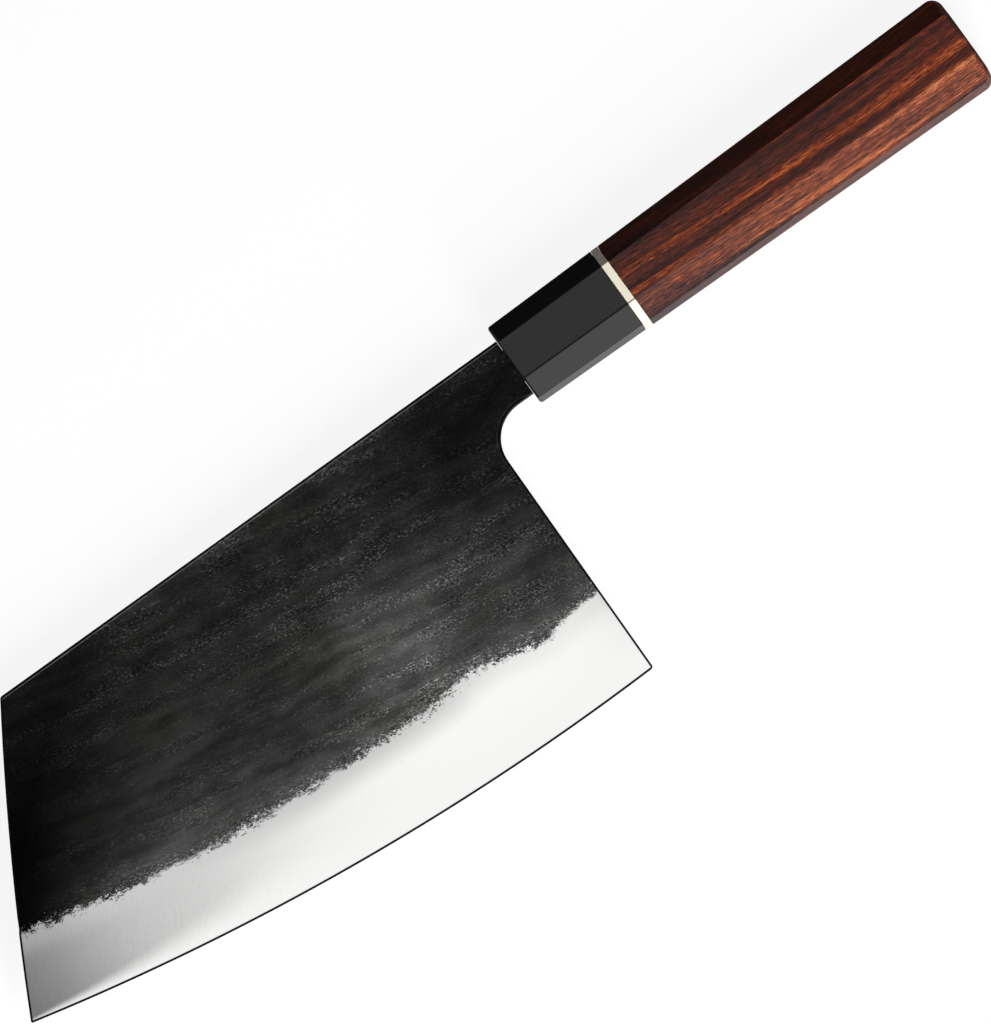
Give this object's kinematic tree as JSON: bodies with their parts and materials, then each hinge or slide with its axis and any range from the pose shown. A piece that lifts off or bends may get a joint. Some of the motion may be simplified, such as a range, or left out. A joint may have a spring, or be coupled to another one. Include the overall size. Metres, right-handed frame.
{
  "type": "kitchen knife",
  "caption": "Cleaver-shaped kitchen knife with a tall black-forged blade, a bright ground bevel and an octagonal wooden stick-tang handle.",
  "frame": {"origin": "middle of the knife's footprint, on the surface that it lies on with its left side up", "axes": "+X along the handle to its butt, +Y from the cutting edge to the spine, +Z out of the blade's left side, up from the surface"},
  "size_m": [0.3364, 0.0964, 0.0238],
  "materials": {
    "forged_steel": "black forge scale on the flats, bright satin grind on the bevel",
    "black_wood": "black close-grained wood, satin polish",
    "cream_resin": "cream resin, polished flush",
    "rosewood": "dark red-brown streaked wood, oiled satin",
    "black_seal": "black sealing resin, matte",
    "cured_glue": "cured glue",
    "dowel_wood": "plain hardwood"
  },
  "bodies": {
    "root": {"blade": "forged_steel", "ferrule": "black_wood", "spacer": "cream_resin", "grip": "rosewood", "mouth_seal": "black_seal", "tang_bedding": "cured_glue", "dowel_left": "dowel_wood", "dowel_right": "dowel_wood"}
  },
  "joints": []
}
